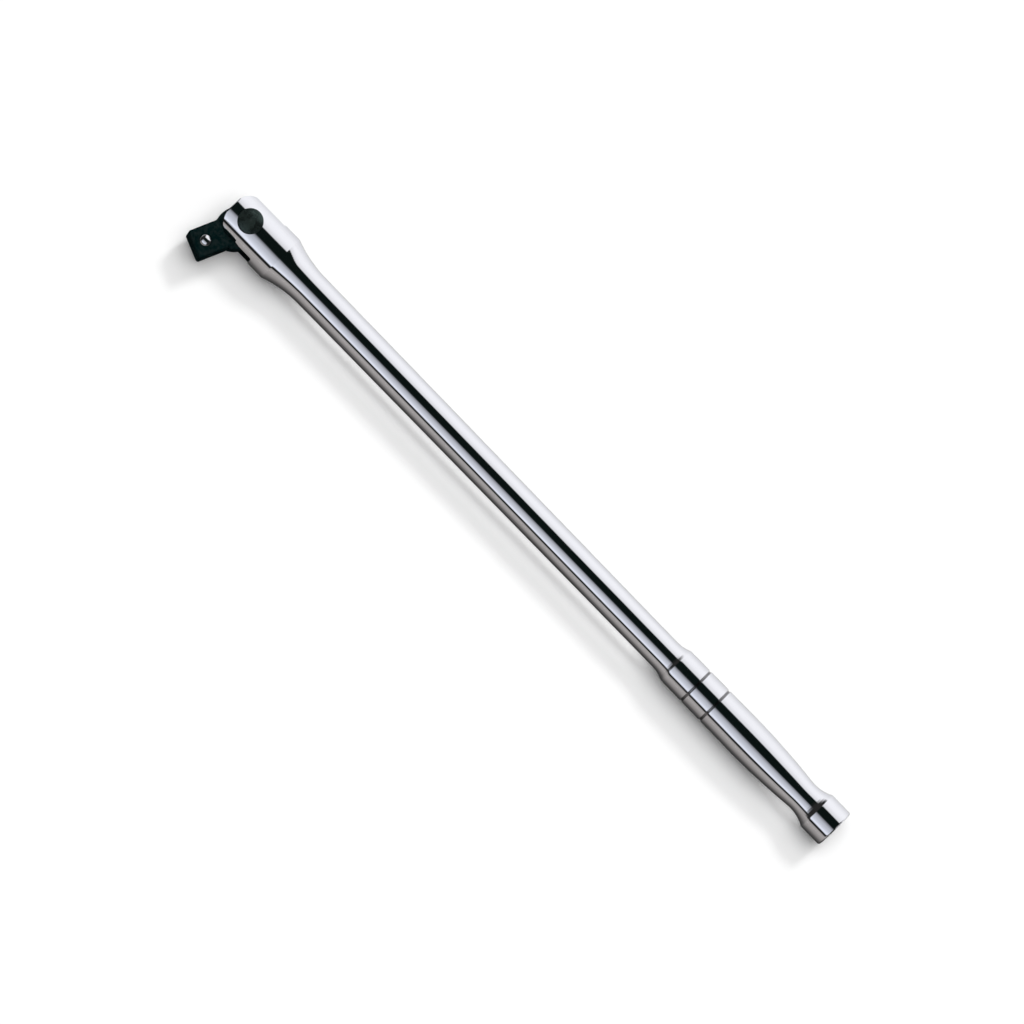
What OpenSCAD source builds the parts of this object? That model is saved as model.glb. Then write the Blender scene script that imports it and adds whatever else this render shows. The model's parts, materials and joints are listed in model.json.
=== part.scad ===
// Flex-head breaker bar, 15 in long, with a 1/2 in square drive.
// Origin: the centre of the handle's flat end face.
// +X runs along the bar to the drive head, and +Z along the pivot, out of the bolt's head.
// All sizes are millimetres.

/* [Bar] */
// Length from the handle's end face to the pivot
bar_len = 356; // [300:1:600]
// Radius of the shank where it leaves the fork
shank_head_r = 8; // [7.6:0.1:9]
// Radius of the shank where it enters the grip
shank_grip_r = 7.4; // [7:0.1:8]

/* [Fork] */
// Radius of the fork's round barrel
fork_r = 11.4; // [11.2:0.1:12]
// Length of the barrel behind the pivot
fork_back = 19.8; // [18:0.1:24]
// Length of the ears ahead of the pivot
fork_front = 10.1; // [10:0.1:11]
// Radius of the ears' round corners, seen along the pivot
ear_corner_r = 9.5; // [7:0.1:10]
// Length of the hollow sweep from the shank up to the barrel
neck_len = 19; // [16:0.5:26]
// Radius of the edge where the hollow sweep meets the barrel
neck_edge_r = 0.8; // [0.4:0.1:3]
// Width of the slot that holds the knuckle
slot_w = 10.4; // [10.4:0.1:11]
// Depth of the slot behind the pivot
slot_back = 11.5; // [11.1:0.1:12]

/* [Grip] */
// Length of the flared end
flare_len = 10.5; // [9:0.1:10.5]
// Radius of the flared end
flare_r = 9.4; // [9.2:0.1:9.6]
// Distance of the waist from the end face
waist_at = 19.5; // [19.5:0.5:22]
// Radius of the waist
waist_r = 7.2; // [7:0.1:7.5]
// Distance from the end face at which the grip is thickest
swell_at = 57; // [50:1:62]
// Radius of the grip where it is thickest
swell_r = 9.1; // [9:0.1:9.5]
// Length of the grip, up to the top of its ramp
grip_len = 95.5; // [90:0.1:110]
// Radius of the grip at the top of its ramp
collar_r = 8.9; // [8.6:0.1:9.1]
// Length of the ramp down to the shank
ramp_len = 7.5; // [5:0.5:10]
// Distance of the first groove from the end face
groove_at = 73; // [66:0.5:78]
// Distance between the two grooves
groove_pitch = 11.4; // [8:0.1:14]
// Width of a groove
groove_w = 1.3; // [0.8:0.1:2]
// Depth of a groove
groove_depth = 0.5; // [0.3:0.1:0.6]

/* [Drive head] */
// Side of the square, 1/2 in
drive_w = 12.7; // [12.5:0.1:12.7]
// Distance from the pivot to the tip of the square
drive_reach = 25.5; // [24:0.1:28]
// Distance from the pivot to the square's shoulders
shoulder_at = 11.5; // [11.4:0.1:12]
// Bend of the drive head from straight, towards +Y
head_bend = 68; // [-95:1:95]
// Radius of the knuckle's round back, and half its width
knuckle_r = 9; // [8.6:0.1:9.4]
// Thickness of the knuckle
knuckle_w = 9.2; // [9:0.1:9.2]
// Distance from the pivot at which the knuckle starts to narrow towards the square
cheek_at = 5; // [3:0.5:5.5]
// Radius of the narrowing cheeks
cheek_r = 11.1; // [10:0.1:12]
// Distance from the tip to the centre of the detent ball
ball_from_tip = 5.5; // [5:0.1:7]
// Height of the ball over the square's face
ball_proud = 1.2; // [1:0.1:1.2]

/* [Pivot] */
// Radius of the bolt's large round head
bolt_head_r = 5.5; // [5:0.1:5.6]
// Height of the bolt's head over the pivot's middle
bolt_top = 13; // [12.6:0.1:13.4]
// Radius of the bolt's plain shoulder, on which the knuckle turns
shoulder_r = 3.45; // [3.2:0.05:3.5]

/* [Hidden] */
$fn = 96;
// How far a cutting tool runs past the face that it cuts
past = 1;
// Gap between touching faces of two pieces that move or turn on each other
play = 0.05;
// Longest step and widest turn between two points of an arc
arc_chord = 1;
arc_turn = 6;

// Stations along the bar
fork_end = bar_len + fork_front;
barrel_start = bar_len - fork_back;
neck_start = barrel_start - neck_len;
slot_root = bar_len - slot_back;
nose_edge_r = 0.6;
flare_corner_r = 1.5;
end_corner_r = 1;
waist_taper_r = 17;
ramp_top_r = 4;
slot_corner_r = 1;

// Ears, and the seats of the bolt's head and of the nut
ear_face = slot_w / 2;
seat_r = bolt_head_r + 0.1;
bolt_bore_r = shoulder_r + play;
bolt_seat = 8.4;
bolt_dome_r = 15;
bolt_corner_r = 0.5;
nut_seat = 7.6;
nut_end = 11.2;
nut_r = bolt_head_r - 0.1;
nut_chamfer = 0.4;
nut_slot_w = 1.5;
nut_slot_depth = 0.9;
thread_r = 2.9;
thread_end = nut_end - nut_slot_depth;
lock_washer_t = 0.8;
lock_washer_r = 5.1;
lock_washer_gap = 0.8;
thrust_washer_t = 0.5;
thrust_washer_r = 7.5;

// Sprung plunger in its bore behind the slot
plunger_r = 3;
plunger_len = 9;
plunger_nose_r = 3.6;
plunger_corner_r = 0.8;
plunger_bore_len = 24;
plunger_tip = bar_len - knuckle_r - play;
plunger_tail = plunger_tip - plunger_len;
plunger_bore_end = slot_root - plunger_bore_len;
spigot_r = 1.6;
spigot_len = 3;
plunger_coil_r = 2.15;
plunger_wire_r = 0.35;
plunger_turns = 10;

// Drive head, drawn straight
half_drive = drive_w / 2;
square_edge_r = 0.9;
tip_chamfer = 0.8;
ball_r = 6.35 / 2;
ball_at = drive_reach - ball_from_tip;
ball_z = half_drive + ball_proud - ball_r;
ball_gap = 0.2;
ball_bore_r = ball_r + ball_gap;
ball_bore_end = -4;
ball_mouth_r = 2.65;
ball_coil_r = 2.1;
ball_wire_r = 0.3;
ball_turns = 6;
ball_coil_len = 5.5;

// Points on an arc round [station, radius], from one angle to another
function arc(centre, r, from, to) =
    let (turn = to - from)
    let (steps = max(ceil(abs(turn) / arc_turn), ceil(r * abs(turn) * PI / 180 / arc_chord)))
    [for (i = [0 : steps]) centre + r * [cos(from + turn * i / steps), sin(from + turn * i / steps)]];

// Two arcs that lead from a to b, level at both ends and tangent where they meet.
// r is the radius of the arc at a, or of the one at b if at_b is true.
function s_curve(a, b, r, at_b = false) =
    let (run = b.x - a.x, rise = b.y - a.y, side = sign(rise))
    let (both = (run * run + rise * rise) / (2 * abs(rise)))
    let (turn = asin(run / both), r_a = at_b ? both - r : r)
    concat(
        arc(a + [0, side * r_a], r_a, -90 * side, (turn - 90) * side),
        arc(b - [0, side * (both - r_a)], both - r_a, (turn + 90) * side, 90 * side)
    );

// A rounded edge and the dome inside it, from a side at radius side_r to the tip on the axis
function domed_end(tip, side_r, dome_r, corner_r) =
    let (off = side_r - corner_r, reach = dome_r - corner_r)
    let (turn = asin(off / reach))
    concat(
        arc([tip - dome_r + reach * cos(turn), off], corner_r, 90, turn),
        arc([tip - dome_r, 0], dome_r, turn, 0)
    );

// Turns an outline of [station, radius] points about the Z axis, with stations along Z
module turned_up() {
    rotate_extrude() mirror([1, -1]) children();
}

// Turns an outline of [station, radius] points about the bar's axis
module turned() {
    rotate([0, 90, 0]) turned_up() children();
}

module bar_outline() {
    polygon(concat(
        [[0, 0]],
        arc([end_corner_r, flare_r - end_corner_r], end_corner_r, 180, 90),
        s_curve([flare_len, flare_r], [waist_at, waist_r], flare_corner_r),
        s_curve([waist_at, waist_r], [swell_at, swell_r], waist_taper_r),
        s_curve([grip_len, collar_r], [grip_len + ramp_len, shank_grip_r], ramp_top_r),
        s_curve([neck_start, shank_head_r], [barrel_start, fork_r], neck_edge_r, at_b = true),
        arc([fork_end - nose_edge_r, fork_r - nose_edge_r], nose_edge_r, 90, 0),
        [[fork_end, 0]]
    ));
}

module groove_outline(at) {
    groove_r = (pow(groove_w / 2, 2) + pow(groove_depth, 2)) / (2 * groove_depth);
    translate([at, (collar_r + swell_r) / 2 - groove_depth + groove_r]) circle(groove_r);
}

// The slot between the ears, cut across the bar
module fork_slot() {
    slot_len = slot_back + fork_front + past;
    inner = ear_face - slot_corner_r;
    rotate([90, 0, 0])
        linear_extrude(2 * (fork_r + past), center = true) {
            translate([slot_root + slot_corner_r, -ear_face]) square([slot_len, slot_w]);
            translate([slot_root, -inner]) square([slot_len, 2 * inner]);
            for (side = [-1, 1])
                translate([slot_root + slot_corner_r, side * inner]) circle(slot_corner_r);
        }
}

// What is cut off the ears' corners, so that they are round where they are seen along the pivot
module ear_corners() {
    for (side = [0, 1])
        mirror([0, side]) linear_extrude(2 * (fork_r + past), center = true)
            translate([fork_end - ear_corner_r, fork_r - ear_corner_r]) difference() {
                square(ear_corner_r + past);
                circle(ear_corner_r);
            }
}

// Bore of the bolt through both ears, with the seats of its head and of the nut
module bolt_holes() {
    translate([bar_len, 0, -fork_r - past]) cylinder(r = bolt_bore_r, h = 2 * (fork_r + past));
    translate([bar_len, 0, bolt_seat]) cylinder(r = seat_r, h = fork_r);
    translate([bar_len, 0, -nut_seat - fork_r]) cylinder(r = seat_r, h = fork_r);
}

module plunger_bore() {
    translate([plunger_bore_end, 0, 0])
        rotate([0, 90, 0]) cylinder(r = plunger_r + play, h = plunger_bore_len + past);
}

// Forged and turned bar: fork, shank and grip in one piece
module handle_bar() {
    color("silver")
        difference() {
            turned() difference() {
                bar_outline();
                for (i = [0, 1]) groove_outline(groove_at + i * groove_pitch);
            }
            fork_slot();
            ear_corners();
            bolt_holes();
            plunger_bore();
        }
}

// Places a piece that is drawn on a straight drive head
module on_head() {
    translate([bar_len, 0, 0]) rotate([0, 0, head_bend]) children();
}

// Knuckle seen along the pivot: a round back, straight sides, and cheeks that curve in to the square
module knuckle_outline() {
    circle(knuckle_r);
    translate([0, -knuckle_r]) square([cheek_at, 2 * knuckle_r]);
    intersection() {
        translate([cheek_at, knuckle_r - cheek_r]) circle(cheek_r);
        translate([cheek_at, cheek_r - knuckle_r]) circle(cheek_r);
        translate([cheek_at, -knuckle_r]) square([cheek_r, 2 * knuckle_r]);
    }
}

module square_outline() {
    inner = half_drive - square_edge_r;
    polygon([
        for (q = [0 : 3])
            each arc(sqrt(2) * inner * [cos(45 + 90 * q), sin(45 + 90 * q)], square_edge_r, 90 * q, 90 * (q + 1))
    ]);
}

// What the chamfer takes off one edge of the square's tip
module tip_chamfer_cut() {
    linear_extrude(2 * drive_w, center = true)
        polygon([
            [drive_reach - tip_chamfer - past, half_drive + past],
            [drive_reach + past, half_drive - tip_chamfer - past],
            [drive_reach + past, half_drive + past]
        ]);
}

// Bore of the detent ball, closed in at its mouth so that the ball can't fall out
module ball_bore() {
    lip = ball_z + ball_gap;
    translate([ball_at, 0, 0])
        turned_up() polygon([
            [ball_bore_end, 0], [ball_bore_end, ball_bore_r], [lip, ball_bore_r],
            [half_drive, ball_mouth_r], [half_drive + past, ball_mouth_r], [half_drive + past, 0]
        ]);
}

// Swivel head: the flat knuckle and the square drive
module drive_tang() {
    color("dimgray")
        on_head() difference() {
            union() {
                linear_extrude(knuckle_w, center = true) knuckle_outline();
                translate([shoulder_at, 0, 0])
                    rotate([0, 90, 0]) linear_extrude(drive_reach - shoulder_at) square_outline();
            }
            for (q = [0 : 3]) rotate([90 * q, 0, 0]) tip_chamfer_cut();
            translate([0, 0, -knuckle_w]) cylinder(r = bolt_bore_r, h = 2 * knuckle_w);
            ball_bore();
        }
}

// Shoulder bolt: domed head, plain shoulder through the knuckle, threaded end
module pivot_bolt() {
    shoulder_end = -nut_seat + 0.3;
    color("dimgray")
        translate([bar_len, 0, 0]) turned_up() polygon(concat(
            [[-thread_end, 0], [-thread_end, thread_r], [shoulder_end, thread_r], [shoulder_end, shoulder_r]],
            [[bolt_seat, shoulder_r], [bolt_seat, bolt_head_r]],
            domed_end(bolt_top, bolt_head_r, bolt_dome_r, bolt_corner_r)
        ));
}

// Round nut with a screwdriver slot, sunk in the far ear
module pivot_nut() {
    nut_top = -nut_seat - lock_washer_t;
    color("dimgray")
        translate([bar_len, 0, 0]) difference() {
            turned_up() polygon([
                [-nut_end, thread_r + play], [-nut_end, nut_r - nut_chamfer],
                [-nut_end + nut_chamfer, nut_r], [nut_top, nut_r], [nut_top, thread_r + play]
            ]);
            translate([-seat_r, -nut_slot_w / 2, -nut_end - past]) cube([2 * seat_r, nut_slot_w, nut_slot_depth + past]);
        }
}

module ring(outer_r, inner_r, thickness) {
    difference() {
        cylinder(r = outer_r, h = thickness);
        translate([0, 0, -past]) cylinder(r = inner_r, h = thickness + 2 * past);
    }
}

// Split spring washer under the nut
module lock_washer() {
    color("gray")
        translate([bar_len, 0, -nut_seat - lock_washer_t]) difference() {
            ring(lock_washer_r, thread_r + 0.2, lock_washer_t);
            translate([0, -lock_washer_gap / 2, -past])
                cube([2 * lock_washer_r, lock_washer_gap, lock_washer_t + 2 * past]);
        }
}

// Thin hard washer between the knuckle and an ear: side 1 is the near ear, and side -1 the far one
module thrust_washer(side) {
    middle = side * (knuckle_w / 2 + ear_face) / 2;
    color("darkgray")
        translate([bar_len, 0, middle - thrust_washer_t / 2]) ring(thrust_washer_r, bolt_bore_r, thrust_washer_t);
}

module near_thrust_washer() {
    thrust_washer(1);
}

module far_thrust_washer() {
    thrust_washer(-1);
}

// Plunger that presses on the knuckle, with a spigot for its spring
module friction_plunger() {
    color("gray")
        turned() polygon(concat(
            [[plunger_tail - spigot_len, 0], [plunger_tail - spigot_len, spigot_r]],
            [[plunger_tail, spigot_r], [plunger_tail, plunger_r]],
            domed_end(plunger_tip, plunger_r, plunger_nose_r, plunger_corner_r)
        ));
}

// Coil spring that stands on Z = 0: a wire of 6 sides swept along a helix
module coil(coil_r, wire_r, length, turns) {
    sides = 6;
    per_turn = 16;
    steps = per_turn * turns;
    rise = (length - 2 * wire_r) / steps;
    points = [
        for (i = [0 : steps], j = [0 : sides - 1])
            let (a = 360 * i / per_turn, b = 360 * j / sides, r = coil_r + wire_r * cos(b))
            [r * cos(a), r * sin(a), wire_r + rise * i + wire_r * sin(b)]
    ];
    walls = [
        for (i = [0 : steps - 1], j = [0 : sides - 1])
            let (k = (j + 1) % sides)
            [i * sides + j, i * sides + k, (i + 1) * sides + k, (i + 1) * sides + j]
    ];
    first_end = [for (j = [sides - 1 : -1 : 0]) j];
    last_end = [for (j = [0 : sides - 1]) steps * sides + j];
    polyhedron(points, concat([first_end], walls, [last_end]));
}

module plunger_spring() {
    color("gray")
        translate([plunger_bore_end, 0, 0]) rotate([0, 90, 0])
            coil(plunger_coil_r, plunger_wire_r, plunger_tail - plunger_bore_end - play, plunger_turns);
}

module detent_ball() {
    color("white")
        on_head() translate([ball_at, 0, ball_z]) sphere(ball_r);
}

module detent_spring() {
    color("gray")
        on_head() translate([ball_at, 0, ball_bore_end]) coil(ball_coil_r, ball_wire_r, ball_coil_len, ball_turns);
}

handle_bar();
drive_tang();
pivot_bolt();
pivot_nut();
lock_washer();
near_thrust_washer();
far_thrust_washer();
friction_plunger();
plunger_spring();
detent_ball();
detent_spring();
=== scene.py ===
"""Looks of the flex-head breaker bar: camera, studio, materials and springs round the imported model.

The frame has +X from the end of the handle towards the head, +Z along the pivot bolt and +Y to the
side to which the head is bent. All lengths are in metres.
"""
import json
import math

import bpy
from mathutils import Matrix, Vector

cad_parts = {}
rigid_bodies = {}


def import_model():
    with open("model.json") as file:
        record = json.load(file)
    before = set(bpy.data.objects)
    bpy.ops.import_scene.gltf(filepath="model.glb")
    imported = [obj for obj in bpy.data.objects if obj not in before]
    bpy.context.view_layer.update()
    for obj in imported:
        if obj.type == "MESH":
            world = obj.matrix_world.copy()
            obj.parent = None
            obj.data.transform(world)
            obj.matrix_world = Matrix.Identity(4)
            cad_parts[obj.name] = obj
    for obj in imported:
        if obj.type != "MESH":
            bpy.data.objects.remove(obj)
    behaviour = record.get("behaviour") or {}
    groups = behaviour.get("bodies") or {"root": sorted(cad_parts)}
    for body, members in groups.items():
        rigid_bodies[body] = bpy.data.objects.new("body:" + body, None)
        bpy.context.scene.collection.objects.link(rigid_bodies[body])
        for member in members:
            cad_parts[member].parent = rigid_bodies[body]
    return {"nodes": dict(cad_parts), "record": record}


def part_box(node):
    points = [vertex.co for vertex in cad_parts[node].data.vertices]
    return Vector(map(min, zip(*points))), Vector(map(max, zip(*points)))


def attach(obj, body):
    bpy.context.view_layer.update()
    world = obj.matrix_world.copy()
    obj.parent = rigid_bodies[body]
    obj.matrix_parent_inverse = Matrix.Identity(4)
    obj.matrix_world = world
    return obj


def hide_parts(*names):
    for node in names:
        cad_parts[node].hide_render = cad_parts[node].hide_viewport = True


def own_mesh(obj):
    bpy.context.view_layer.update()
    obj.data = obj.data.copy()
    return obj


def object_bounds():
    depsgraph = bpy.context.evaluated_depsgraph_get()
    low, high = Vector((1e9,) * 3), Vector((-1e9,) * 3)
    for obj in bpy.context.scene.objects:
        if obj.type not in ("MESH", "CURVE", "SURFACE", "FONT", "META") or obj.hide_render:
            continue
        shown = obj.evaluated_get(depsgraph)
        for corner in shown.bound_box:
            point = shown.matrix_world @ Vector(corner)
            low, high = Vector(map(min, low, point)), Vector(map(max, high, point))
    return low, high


# The start-up scene's own objects go first
for left_over in list(bpy.data.objects):
    bpy.data.objects.remove(left_over)
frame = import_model()
nodes = frame["nodes"]
CAD_LO, CAD_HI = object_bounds()

# Sizes of the bar that the looks depend on
PIVOT_X = 0.356
GROOVES = (0.0730, 0.0844)
GROOVE_HALF = 0.00065

# Springs: wire radius and turns
BALL_WIRE_R = 0.0003
BALL_TURNS = 6
PLUNGER_WIRE_R = 0.00035
PLUNGER_TURNS = 10
# How finely a spring is drawn: points round the wire, and steps along each turn
WIRE_SIDES = 12
WIRE_STEPS = 36

# Camera: far away, square to the bar, and leaning to the side to which the head is bent. The bar's
# direction is its angle in the picture, and the aim is the point at the picture's centre. Only the
# sensor's width is in millimetres
CAMERA_DISTANCE = 6.0
CAMERA_LEAN = math.radians(10.2)
BAR_DIRECTION = math.radians(134.16)
FRAME_WIDTH = 0.43264
AIM_ALONG = 0.1912
AIM_ASIDE = 0.0044
SENSOR = 36.0
CLIP_START = 0.1
CLIP_END = 200

# Table, and the card just over it that only reflections see
FLOOR_Z = CAD_LO.z
FLOOR_SIZE = 60.0
FLOOR_COLOUR = 0.93
CARD_SIZE = 6.0
CARD_LIFT = 0.0002

# Lights: the strength of the soft light, and the share of full white that each sun gives the table.
# Leans and spreads are in degrees
SOFT_LIGHT = 0.27
OVERHEAD_LIGHT = 0.57
OVERHEAD_LEAN = 8
OVERHEAD_SPREAD = 50
OBLIQUE_LIGHT = 0.22
OBLIQUE_LEAN = 43
OBLIQUE_SPREAD = 14

# Tints of what the chrome reflects
WHITE = (1, 1, 1)
PALE = (0.998, 1.0, 1.022)
COOL = (0.982, 1.0, 1.057)
TAUPE = (1.022, 0.996, 0.992)
NIGHT = (0.6, 1.05, 1.0)

# Finishes: the share of light that chrome reflects, and the colours of the metals
CHROME_REFLECTS = 0.95
CHROME_CLEAN = (0.955, 0.958, 0.965)
CHROME_SMEARED = (0.915, 0.918, 0.925)
# Painted shade: the near-black towards which the two grooves are darkened
GROOVE_SHADE = (0.10, 0.097, 0.094)
OXIDE_DARK = (0.0005, 0.0075, 0.0080)
OXIDE_LIGHT = (0.0015, 0.0135, 0.0140)
OXIDE_RUBBED = (0.12, 0.125, 0.125)
BOLT_DARK = (0.026, 0.037, 0.034)
BOLT_LIGHT = (0.066, 0.094, 0.086)
BOLT_RUBBED = (0.22, 0.22, 0.22)
BOLT_RING_PITCH = 0.00028
BALL_CLEAN = (0.95, 0.95, 0.955)
BALL_RUBBED = (0.86, 0.86, 0.865)
RUBBED_FROM = 0.53
RUBBED_TO = 0.60


def link(obj):
    """Puts an object in the scene."""
    bpy.context.scene.collection.objects.link(obj)
    return obj


def make_camera():
    """A long lens, turned so that the bar lies at its angle across the picture."""
    along = Vector((1, 0, 0))
    back = Vector((0, math.sin(CAMERA_LEAN), math.cos(CAMERA_LEAN)))
    aside = back.cross(along)
    right = math.cos(BAR_DIRECTION) * along - math.sin(BAR_DIRECTION) * aside
    up = math.sin(BAR_DIRECTION) * along + math.cos(BAR_DIRECTION) * aside
    data = bpy.data.cameras.new("camera")
    data.sensor_width = SENSOR
    data.lens = SENSOR * CAMERA_DISTANCE / FRAME_WIDTH
    data.clip_start = CLIP_START
    data.clip_end = CLIP_END
    camera = link(bpy.data.objects.new("camera", data))
    turn = Matrix((right, up, back)).transposed().to_4x4()
    aim = Vector((AIM_ALONG, 0, 0)) + AIM_ASIDE * aside
    camera.matrix_world = Matrix.Translation(aim + CAMERA_DISTANCE * back) @ turn
    bpy.context.scene.camera = camera


class Graph:
    """A short way to write shader nodes."""

    def __init__(self, tree):
        self.tree = tree
        tree.nodes.clear()

    def add(self, kind, inputs=None, **settings):
        """A node with its settings, and its inputs by name or place: a value, or a socket to link."""
        node = self.tree.nodes.new(kind)
        for name, value in settings.items():
            setattr(node, name, value)
        for key, value in (inputs or {}).items():
            if isinstance(value, bpy.types.NodeSocket):
                self.tree.links.new(value, node.inputs[key])
            else:
                node.inputs[key].default_value = value
        return node

    def math(self, operation, a, b=0.0, c=0.0):
        return self.add("ShaderNodeMath", {0: a, 1: b, 2: c}, operation=operation).outputs[0]

    def fade(self, value, start, end, low=0.0, high=1.0):
        """A value that goes from low to high while the input goes from start to end."""
        inputs = {"Value": value, "From Min": start, "From Max": end, "To Min": low, "To Max": high}
        return self.add("ShaderNodeMapRange", inputs, interpolation_type="SMOOTHSTEP").outputs[0]

    def ramp(self, factor, stops):
        """A colour by the factor, from stops of position and colour."""
        node = self.add("ShaderNodeValToRGB", {"Fac": factor})
        elements = node.color_ramp.elements
        while len(elements) < len(stops):
            elements.new(0.5)
        for element, (position, colour) in zip(elements, stops):
            element.position = position
            element.color = (*colour, 1)
        return node.outputs["Color"]

    def place(self):
        """The point on the object, in metres."""
        return self.add("ShaderNodeTexCoord").outputs["Object"]

    def scaled(self, vector, scale):
        return self.add("ShaderNodeVectorMath", {0: vector, 1: scale}, operation="MULTIPLY").outputs[0]

    def noise(self, vector, scale, detail=3.0, roughness=0.55):
        inputs = {"Vector": vector, "Scale": scale, "Detail": detail, "Roughness": roughness}
        return self.add("ShaderNodeTexNoise", inputs).outputs["Fac"]

    def blend(self, factor, a, b):
        """Colour a where the factor is 0 and b where it is 1. Each is three numbers or a socket."""
        a, b = [value if isinstance(value, bpy.types.NodeSocket) else (*value, 1) for value in (a, b)]
        return self.add("ShaderNodeMix", {0: factor, 6: a, 7: b}, data_type="RGBA").outputs[2]

    def bump(self, height, strength, distance, normal=None):
        inputs = {"Height": height, "Strength": strength, "Distance": distance}
        if normal is not None:
            inputs["Normal"] = normal
        return self.add("ShaderNodeBump", inputs).outputs[0]

    def finish(self, **inputs):
        """The shader and the output. Underscores in the names stand for spaces."""
        named = {key.replace("_", " "): value for key, value in inputs.items()}
        shader = self.add("ShaderNodeBsdfPrincipled", named)
        self.add("ShaderNodeOutputMaterial", {"Surface": shader.outputs[0]})


def material(name):
    """A new material, and the graph that fills it."""
    made = bpy.data.materials.new(name)
    made.use_nodes = True
    return made, Graph(made.node_tree)


def linear(level):
    """The light that shows as a display level of 0 to 255, by the sRGB curve."""
    share = level / 255
    return share / 12.92 if share < 0.04045 else ((share + 0.055) / 1.055) ** 2.4


def seen(level, tint=WHITE):
    """The light to put in a reflection so that chrome shows it at a display level."""
    return tuple(linear(level * part) / CHROME_REFLECTS for part in tint)


# What chrome sees overhead: display levels by the angle in degrees from straight up towards +Y
SKY = [
    (-180, seen(238, PALE)),
    (-90, seen(238, PALE)),
    (-76, seen(241, PALE)),
    (-59, seen(238, PALE)),
    (-51, seen(232, PALE)),
    (-44, seen(225, PALE)),
    (-36, seen(216, PALE)),
    (-32.0, seen(206, PALE)),
    (-29.0, seen(17, NIGHT)),
    (12.5, seen(17, NIGHT)),
    (19.5, seen(140, COOL)),
    (29.0, seen(178, COOL)),
    (37.0, seen(188, COOL)),
    (46.0, seen(204, COOL)),
    (56.0, seen(222, COOL)),
    (62.5, seen(228, COOL)),
    (65.5, seen(22)),
    (74.5, seen(22)),
    (79.0, seen(152, TAUPE)),
    (180, seen(152, TAUPE)),
]

# Painted reflection of the table: display levels by the distance to the +Y side of the bar's axis, with
# the bar's shadow under it painted dark
CARD = [
    (-0.600, seen(238, PALE)),
    (-0.079, seen(232, PALE)),
    (-0.041, seen(222, PALE)),
    (-0.025, seen(214, PALE)),
    (-0.0157, seen(198)),
    # Painted shadow: the table dark under the bar
    (-0.008, seen(140)),
    (0.000, seen(50)),
    (0.014, seen(55)),
    (0.023, seen(85, TAUPE)),
    (0.032, seen(115, TAUPE)),
    (0.047, seen(135, TAUPE)),
    (0.088, seen(148, TAUPE)),
    (0.320, seen(154, TAUPE)),
]
CARD_FROM = -0.6
CARD_TO = 0.4

# These go by the X part of a reflection's direction. Where a steep slope faces the handle, the dark
# strip overhead is seen wider
STEEP_FROM = -0.36
STEEP_TO = -0.56
STEEP_SQUEEZE = 0.58
# Both ends of the room are dark, and the darkness starts sooner ahead of the bar
FRONT_FROM = 0.46
FRONT_TO = 0.66
BACK_FROM = -0.66
BACK_TO = -0.80
END_LIGHT = (0.02, 0.02, 0.02)


def make_world():
    """The room: strips of light in reflections, plain white behind the table, and soft light."""
    world = bpy.data.worlds.new("studio")
    bpy.context.scene.world = world
    world.use_nodes = True
    g = Graph(world.node_tree)
    direction = g.add("ShaderNodeTexCoord").outputs["Generated"]
    split = g.add("ShaderNodeSeparateXYZ", {0: direction})
    angle = g.math("ARCTAN2", split.outputs["Y"], split.outputs["Z"])
    squeeze = g.fade(split.outputs["X"], STEEP_FROM, STEEP_TO, 1.0, STEEP_SQUEEZE)
    bent = g.math("MAXIMUM", angle, g.math("MULTIPLY", angle, squeeze))
    turn = g.math("MULTIPLY_ADD", bent, 1 / (2 * math.pi), 0.5)
    strip = g.ramp(turn, [((a + 180) / 360, colour) for a, colour in SKY])
    front = g.fade(split.outputs["X"], FRONT_FROM, FRONT_TO)
    back = g.fade(split.outputs["X"], BACK_FROM, BACK_TO)
    sky = g.blend(g.math("MAXIMUM", front, back), strip, END_LIGHT)
    path = g.add("ShaderNodeLightPath")
    soft = g.add("ShaderNodeBackground", {"Color": (1, 1, 1, 1), "Strength": SOFT_LIGHT})
    strips = g.add("ShaderNodeBackground", {"Color": sky, "Strength": 1.0})
    paper = g.add("ShaderNodeBackground", {"Color": (1, 1, 1, 1), "Strength": 1.0})
    ways = {0: path.outputs["Is Glossy Ray"], 1: soft.outputs[0], 2: strips.outputs[0]}
    lit = g.add("ShaderNodeMixShader", ways)
    ways = {0: path.outputs["Is Camera Ray"], 1: lit.outputs[0], 2: paper.outputs[0]}
    shown = g.add("ShaderNodeMixShader", ways)
    g.add("ShaderNodeOutputWorld", {"Surface": shown.outputs[0]})


def plane(name, size, z):
    """A level square of the stage, centred on the origin."""
    half = size / 2
    mesh = bpy.data.meshes.new(name)
    corners = [(-half, -half, z), (half, -half, z), (half, half, z), (-half, half, z)]
    mesh.from_pydata(corners, [], [(0, 1, 2, 3)])
    obj = link(bpy.data.objects.new(name, mesh))
    return obj


# Painted light on the table, an emission that stands in for the light that the slim parts of the bar
# throw on it: its strength by distance to the +Y side, and how it fades in under the bar
GLOW = [
    (0.0, 0.45),
    (0.0050, 0.60),
    (0.0068, 0.55),
    (0.0078, 0.40),
    (0.0090, 0.17),
    (0.0100, 0.09),
    (0.0115, 0.11),
    (0.0130, 0.10),
    (0.0160, 0.0),
]
GLOW_TO = 0.016
GLOW_IN_FROM = -0.004
GLOW_IN_TO = 0.002
# The shank and the waist, beside which the painted light falls: where it rises and falls along X, and
# its share
GLOW_STRETCHES = [
    (0.098, 0.118, 0.300, 0.336, 1.0),
    (0.006, 0.018, 0.022, 0.044, 0.55),
]


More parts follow.
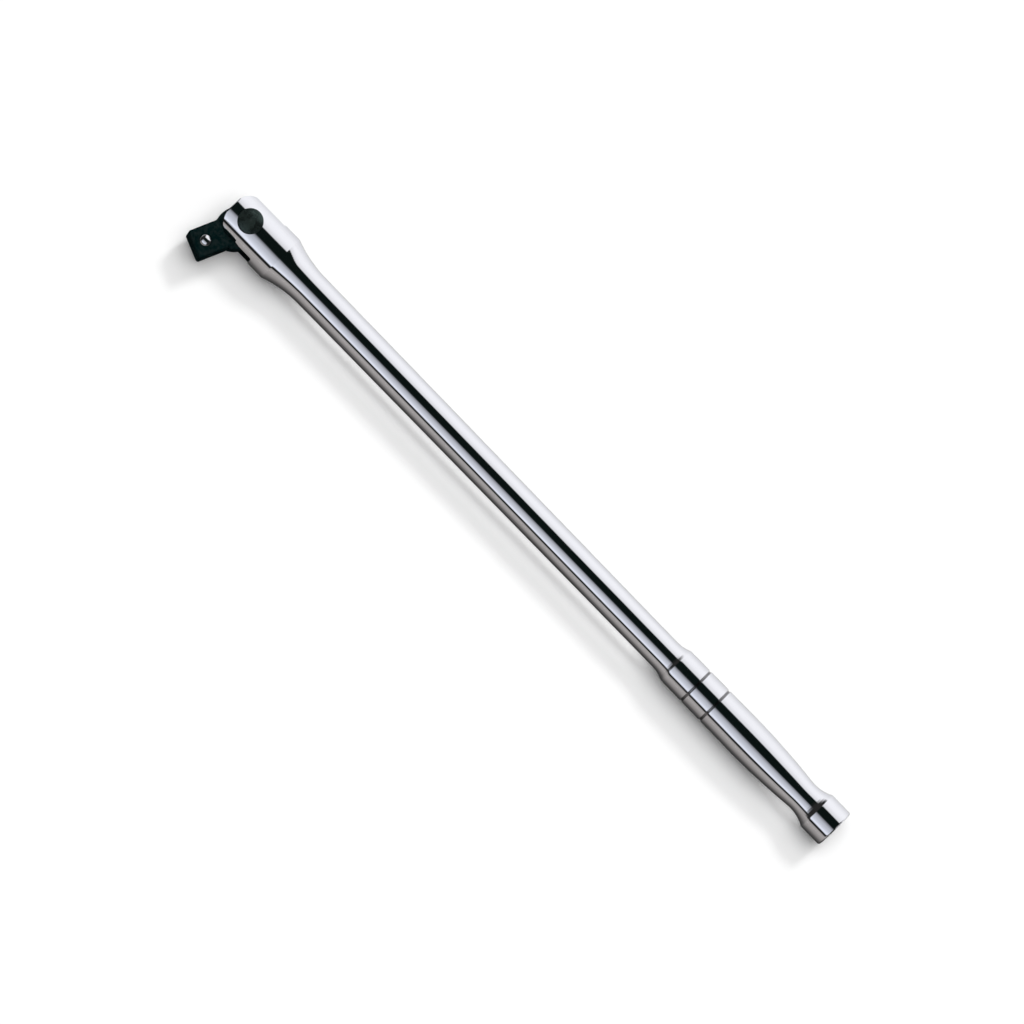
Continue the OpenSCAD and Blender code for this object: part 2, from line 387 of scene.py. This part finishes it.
def make_floor():
    """A matt white table with a faint painted glow on it beside the bar."""
    floor = plane("floor", FLOOR_SIZE, FLOOR_Z)
    made, g = material("floor")
    split = g.add("ShaderNodeSeparateXYZ", {0: g.place()})
    along, aside = split.outputs["X"], split.outputs["Y"]
    reach = 0.0
    for rise_from, rise_to, fall_from, fall_to, share in GLOW_STRETCHES:
        rise = g.fade(along, rise_from, rise_to)
        fall = g.fade(along, fall_from, fall_to, share, 0.0)
        reach = g.math("MULTIPLY_ADD", rise, fall, reach)
    stops = [(y / GLOW_TO, (light, light, light)) for y, light in GLOW]
    across = g.ramp(g.math("DIVIDE", aside, GLOW_TO), stops)
    inner = g.fade(aside, GLOW_IN_FROM, GLOW_IN_TO)
    colour = (FLOOR_COLOUR, FLOOR_COLOUR, FLOOR_COLOUR, 1)
    paper = g.add("ShaderNodeBsdfDiffuse", {"Color": colour})
    strength = g.math("MULTIPLY", reach, inner)
    # Painted light: the emission that brightens the table beside the bar
    glow = g.add("ShaderNodeEmission", {"Color": across, "Strength": strength})
    both = g.add("ShaderNodeAddShader", {0: paper.outputs[0], 1: glow.outputs[0]})
    g.add("ShaderNodeOutputMaterial", {"Surface": both.outputs[0]})
    floor.data.materials.append(made)


def make_floor_card():
    """The table as the chrome sees it, painted with the bar's shadow under it: a card just over the
    floor, which only reflections see.
    """
    card = plane("floor_card", CARD_SIZE, FLOOR_Z + CARD_LIFT)
    made, g = material("floor_card")
    aside = g.add("ShaderNodeSeparateXYZ", {0: g.place()}).outputs["Y"]
    span = {"Value": aside, "From Min": CARD_FROM, "From Max": CARD_TO}
    share = g.add("ShaderNodeMapRange", span).outputs[0]
    stops = [((y - CARD_FROM) / (CARD_TO - CARD_FROM), colour) for y, colour in CARD]
    shader = g.add("ShaderNodeEmission", {"Color": g.ramp(share, stops), "Strength": 1.0})
    g.add("ShaderNodeOutputMaterial", {"Surface": shader.outputs[0]})
    card.data.materials.append(made)
    card.visible_camera = False
    card.visible_diffuse = False
    card.visible_shadow = False


def make_sun(name, share, lean, spread):
    """A light from the -Y side that gives the floor this share of full white."""
    lean = math.radians(lean)
    sun = bpy.data.lights.new(name, "SUN")
    sun.energy = share * math.pi / (FLOOR_COLOUR * math.cos(lean))
    sun.angle = math.radians(spread)
    lamp = link(bpy.data.objects.new(name, sun))
    towards = Vector((0, math.sin(lean), -math.cos(lean)))
    lamp.rotation_mode = "QUATERNION"
    lamp.rotation_quaternion = towards.to_track_quat("-Z", "Y")
    lamp.visible_glossy = False


def chrome():
    """Polished chrome plate: faint polishing lines and ripples, smears, and painted shade that darkens
    the two grooves, which are also rougher.
    """
    made, g = material("chrome_plate")
    place = g.place()
    x = g.add("ShaderNodeSeparateXYZ", {0: place}).outputs["X"]
    groove_shade = 0.0
    for groove in GROOVES:
        off = g.math("ABSOLUTE", g.math("SUBTRACT", x, groove))
        groove_shade = g.math("MAXIMUM", g.fade(off, GROOVE_HALF, GROOVE_HALF * 0.45), groove_shade)
    smears = g.noise(g.scaled(place, (1, 3, 3)), scale=38, detail=4)
    lines = g.noise(g.scaled(place, (25, 1100, 1100)), scale=1.0, detail=2)
    scuffs = g.noise(g.scaled(place, (1, 0.35, 0.35)), scale=2600, detail=2)
    marks = g.fade(g.noise(place, scale=95, detail=5, roughness=0.65), 0.62, 0.72)
    clean = g.blend(g.fade(smears, 0.35, 0.75, low=0, high=0.35), CHROME_CLEAN, CHROME_SMEARED)
    # Painted shade: the colour in the two grooves goes most of the way to near-black
    colour = g.blend(g.math("MULTIPLY", groove_shade, 0.82), clean, GROOVE_SHADE)
    rough = g.fade(smears, 0.35, 0.8, low=0.035, high=0.075)
    for mark, more in ((marks, 0.03), (groove_shade, 0.1), (lines, 0.02)):
        rough = g.math("ADD", rough, g.math("MULTIPLY", mark, more))
    ripples = g.noise(g.scaled(place, (1, 2.2, 2.2)), scale=60, detail=1)
    wavy = g.bump(ripples, strength=0.03, distance=0.0006)
    brushed = g.bump(g.math("ADD", lines, scuffs), strength=0.02, distance=0.00008, normal=wavy)
    g.finish(Base_Color=colour, Metallic=1.0, Roughness=rough, Normal=brushed)
    return made


def rubbed(g, patches, share):
    """How far the finish is rubbed off: patches of the given noise scale, most at convex edges."""
    convex = g.add("ShaderNodeNewGeometry").outputs["Pointiness"]
    patchy = g.noise(g.place(), scale=patches, detail=4, roughness=0.6)
    worn = g.math("MULTIPLY", g.fade(convex, RUBBED_FROM, RUBBED_TO), g.fade(patchy, 0.35, 0.65))
    return g.math("MULTIPLY", worn, share)


def black_oxide():
    """Oiled black oxide on a forged and ground head: fine grain, oil smears and rubbed edges."""
    made, g = material("black_oxide")
    place = g.place()
    grain = g.noise(place, scale=5200, detail=3)
    oil = g.noise(g.scaled(place, (1, 1.6, 1)), scale=140, detail=4)
    grinding = g.noise(g.scaled(place, (2600, 180, 2600)), scale=1.0, detail=2)
    tone = g.blend(oil, OXIDE_DARK, OXIDE_LIGHT)
    colour = g.blend(rubbed(g, patches=700, share=0.10), tone, OXIDE_RUBBED)
    smooth = g.fade(oil, 0.3, 0.75, low=0.26, high=0.42)
    rough = g.math("ADD", smooth, g.math("MULTIPLY", grain, 0.08))
    height = g.math("ADD", grain, g.math("MULTIPLY", grinding, 0.6))
    normal = g.bump(height, strength=0.22, distance=0.00005)
    g.finish(Base_Color=colour, Metallic=0.5, Roughness=rough, Normal=normal, Specular_IOR_Level=0.0,
             Specular_Tint=(0.1, 0.1, 0.1, 1))
    return made


def black_bolt():
    """Black bolt and nut: turning marks round the pivot, cloudy tone and rubbed edges."""
    made, g = material("black_bolt")
    place = g.place()
    offset = {0: place, 1: (PIVOT_X, 0, 0)}
    away = g.add("ShaderNodeVectorMath", offset, operation="SUBTRACT").outputs[0]
    level = g.scaled(away, (1, 1, 0))
    radius = g.add("ShaderNodeVectorMath", {0: level}, operation="LENGTH").outputs["Value"]
    uneven = g.noise(place, scale=900, detail=3)
    phase = g.math("MULTIPLY", radius, 2 * math.pi / BOLT_RING_PITCH)
    rings = g.math("SINE", g.math("MULTIPLY_ADD", uneven, 3.0, phase))
    cloudy = g.noise(place, scale=260, detail=3)
    tone = g.blend(g.fade(cloudy, 0.3, 0.7), BOLT_DARK, BOLT_LIGHT)
    colour = g.blend(rubbed(g, patches=800, share=0.4), tone, BOLT_RUBBED)
    rough = g.fade(cloudy, 0.3, 0.7, low=0.22, high=0.34)
    grain = g.bump(g.noise(place, scale=3200, detail=2), strength=0.2, distance=0.00004)
    normal = g.bump(rings, strength=0.18, distance=0.00002, normal=grain)
    g.finish(Base_Color=colour, Metallic=0.85, Roughness=rough, Normal=normal, Specular_IOR_Level=0.0,
             Specular_Tint=(0.3, 0.3, 0.3, 1))
    return made


def polished_ball():
    """A bright steel ball with small rubbed patches."""
    made, g = material("polished_ball")
    place = g.place()
    patches = g.fade(g.noise(place, scale=1500, detail=4, roughness=0.65), 0.55, 0.7)
    colour = g.blend(patches, BALL_CLEAN, BALL_RUBBED)
    rough = g.math("MULTIPLY_ADD", patches, 0.08, 0.035)
    scratches = g.noise(g.scaled(place, (1, 4, 1)), scale=2600, detail=2)
    normal = g.bump(scratches, strength=0.03, distance=0.00003)
    g.finish(Base_Color=colour, Metallic=1.0, Roughness=rough, Normal=normal)
    return made


def plain_steel(name, dark, light, smooth, coarse, grain_scale):
    """Bare steel with an uneven tone, a roughness from smooth to coarse, and a directed grain."""
    made, g = material(name)
    place = g.place()
    cloudy = g.noise(place, scale=320, detail=4)
    grain = g.noise(g.scaled(place, grain_scale), scale=1.0, detail=2)
    colour = g.blend(cloudy, dark, light)
    film = g.fade(cloudy, 0.3, 0.7, low=smooth, high=coarse)
    rough = g.math("ADD", film, g.math("MULTIPLY", grain, 0.1))
    normal = g.bump(grain, strength=0.25, distance=0.00002)
    g.finish(Base_Color=colour, Metallic=1.0, Roughness=rough, Normal=normal)
    return made


def coil_mesh(name, base, along, across, length, coil_r, wire_r, turns):
    """Round wire wound round the line from base, with its first and last turns closed."""
    aside = along.cross(across)
    closed_rise = 2 * wire_r
    free_turns = turns - 2
    free_rise = (length - 3 * closed_rise) / free_turns
    verts = []
    for i in range(turns * WIRE_STEPS + 1):
        turn = i / WIRE_STEPS
        rise = wire_r + closed_rise * turn
        rise += (free_rise - closed_rise) * min(max(turn - 1, 0), free_turns)
        angle = 2 * math.pi * turn
        out = across * math.cos(angle) + aside * math.sin(angle)
        centre = base + along * rise + out * coil_r
        for j in range(WIRE_SIDES):
            side = 2 * math.pi * j / WIRE_SIDES
            verts.append(centre + wire_r * (math.cos(side) * out + math.sin(side) * along))
    faces = []
    for i in range(turns * WIRE_STEPS):
        ring = i * WIRE_SIDES
        following = ring + WIRE_SIDES
        for j in range(WIRE_SIDES):
            k = (j + 1) % WIRE_SIDES
            faces.append((ring + j, ring + k, following + k, following + j))
    last = turns * WIRE_STEPS * WIRE_SIDES
    faces.append(tuple(range(WIRE_SIDES - 1, -1, -1)))
    faces.append(tuple(range(last, last + WIRE_SIDES)))
    mesh = bpy.data.meshes.new(name)
    mesh.from_pydata(verts, [], faces)
    mesh.polygons.foreach_set("use_smooth", [True] * (len(faces) - 2) + [False] * 2)
    return mesh


def coil_spring(name, node, axis, wire_r, turns, made):
    """A coil spring that fills the box of a CAD spring and stands for it, its base and its length."""
    lo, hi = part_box(node)
    along = Vector(axis)
    across = Vector((0, 0, 1)) if axis[0] else Vector((1, 0, 0))
    length = (hi - lo).dot(along)
    coil_r = (hi - lo).dot(across) / 2 - wire_r
    base = (lo + hi) / 2 - along * (length / 2)
    mesh = coil_mesh(name, base, along, across, length, coil_r, wire_r, turns)
    mesh.materials.append(made)
    spring = link(bpy.data.objects.new(name, mesh))
    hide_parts(node)
    return spring, base, length


def make_springs(made):
    """Coil springs that stand for the CAD springs, each carried by its body."""
    coil, base, length = coil_spring(
        "detent_coil", "detent_spring", (0, 0, 1), BALL_WIRE_R, BALL_TURNS, made)
    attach(coil, "drive_head")
    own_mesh(coil)
    coil, base, length = coil_spring(
        "plunger_coil", "plunger_spring", (1, 0, 0), PLUNGER_WIRE_R, PLUNGER_TURNS, made)
    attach(coil, "handle")
    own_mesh(coil)


def make_materials():
    """One material for each slot that the record names."""
    return {
        "chrome_plate": chrome(),
        "black_oxide": black_oxide(),
        "black_bolt": black_bolt(),
        "polished_ball": polished_ball(),
        "spring_steel": plain_steel(
            "spring_steel", dark=(0.30, 0.30, 0.31), light=(0.50, 0.49, 0.48),
            smooth=0.22, coarse=0.38, grain_scale=(900, 900, 5200)),
        "washer_steel": plain_steel(
            "washer_steel", dark=(0.40, 0.40, 0.41), light=(0.58, 0.57, 0.56),
            smooth=0.25, coarse=0.42, grain_scale=(420, 4200, 420)),
        "hardened_steel": plain_steel(
            "hardened_steel", dark=(0.32, 0.33, 0.35), light=(0.50, 0.49, 0.47),
            smooth=0.15, coarse=0.30, grain_scale=(3800, 700, 700)),
    }


def dress(materials):
    """Gives every CAD node the material of the slot that the record names for it."""
    for part in frame["record"]["subparts"]:
        slots = nodes[part["node"]].data.materials
        slots.clear()
        slots.append(materials[part["material_slot"]])


make_camera()
make_world()
make_floor()
make_floor_card()
make_sun("overhead", OVERHEAD_LIGHT, OVERHEAD_LEAN, OVERHEAD_SPREAD)
make_sun("oblique", OBLIQUE_LIGHT, OBLIQUE_LEAN, OBLIQUE_SPREAD)
bpy.context.scene.view_settings.view_transform = "Standard"
materials = make_materials()
dress(materials)
make_springs(materials["spring_steel"])
